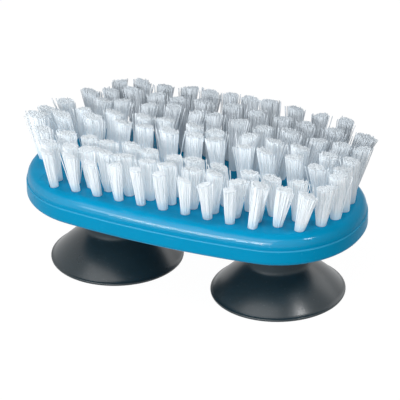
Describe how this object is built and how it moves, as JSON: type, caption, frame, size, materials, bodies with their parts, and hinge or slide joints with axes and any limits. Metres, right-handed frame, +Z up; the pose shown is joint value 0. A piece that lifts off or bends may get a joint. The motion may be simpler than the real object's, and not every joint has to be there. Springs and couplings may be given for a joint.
{
  "type": "suction cup nail brush",
  "caption": "Oblong nail brush: glossy moulded block with nylon tufts on top, held to a basin or tile for one-handed scrubbing by soft suction cups below.",
  "frame": {"origin": "middle of the brush on the plane where the two cup lips stand", "axes": "+X along the block's length, +Z up through the tufts, +Y across the block"},
  "size_m": [0.1054, 0.058, 0.0459],
  "materials": {
    "block_blue": "glossy moulded plastic, turquoise blue",
    "nylon_white": "satin white nylon filament",
    "cup_grey": "satin soft plastic, dark grey"
  },
  "bodies": {
    "block": {"bristle_plate": "block_blue", "base_cover": "block_blue", "front_tuft_strip": "nylon_white", "middle_front_tuft_strip": "nylon_white", "middle_rear_tuft_strip": "nylon_white", "rear_tuft_strip": "nylon_white"},
    "left_cup": {"left_suction_cup": "cup_grey"},
    "right_cup": {"right_suction_cup": "cup_grey"}
  },
  "joints": [
    {"name": "left_cup_press", "type": "slide", "parent": "block", "child": "left_cup", "axis": [0, 0, 1], "range_m": [0, 0.004], "stiffness_N_per_m": 2000, "deforming": ["left_suction_cup"]},
    {"name": "right_cup_press", "type": "slide", "parent": "block", "child": "right_cup", "axis": [0, 0, 1], "range_m": [0, 0.004], "stiffness_N_per_m": 2000, "deforming": ["right_suction_cup"]}
  ]
}
